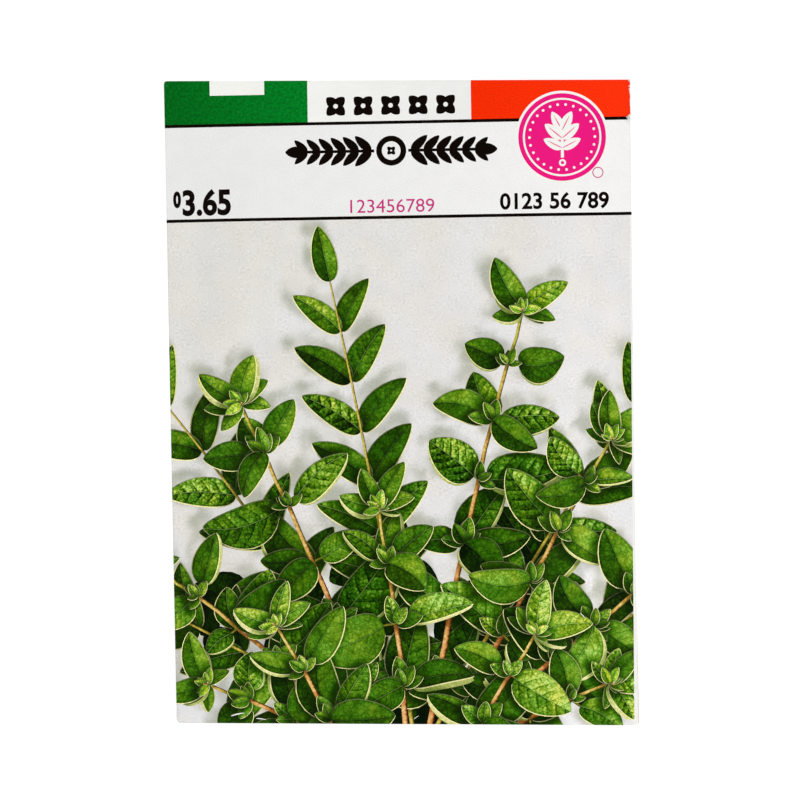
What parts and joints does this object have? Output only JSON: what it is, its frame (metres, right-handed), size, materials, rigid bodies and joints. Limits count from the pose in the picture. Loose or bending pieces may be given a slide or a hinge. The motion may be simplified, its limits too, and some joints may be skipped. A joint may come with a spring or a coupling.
{
  "type": "seed packet",
  "caption": "Flat sealed paper packet that holds herb seeds, folded from a printed sheet, with its side seam and end flaps glued at the back.",
  "frame": {"origin": "on the resting plane, under the middle of the packet", "axes": "+Z out of the printed front, +Y towards the packet's top edge, +X to the right as the front is read"},
  "size_m": [0.0826, 0.1156, 0.0022],
  "materials": {
    "coated_paper": "white coated label paper, offset printed on the outside",
    "dry_glue": "thin dried envelope glue",
    "seed_coat": "dull brown seed coat"
  },
  "bodies": {
    "root": {"envelope": "coated_paper", "glue_top_flap": "dry_glue", "glue_bottom_flap": "dry_glue", "glue_side_seam": "dry_glue", "seeds": "seed_coat"}
  },
  "joints": []
}
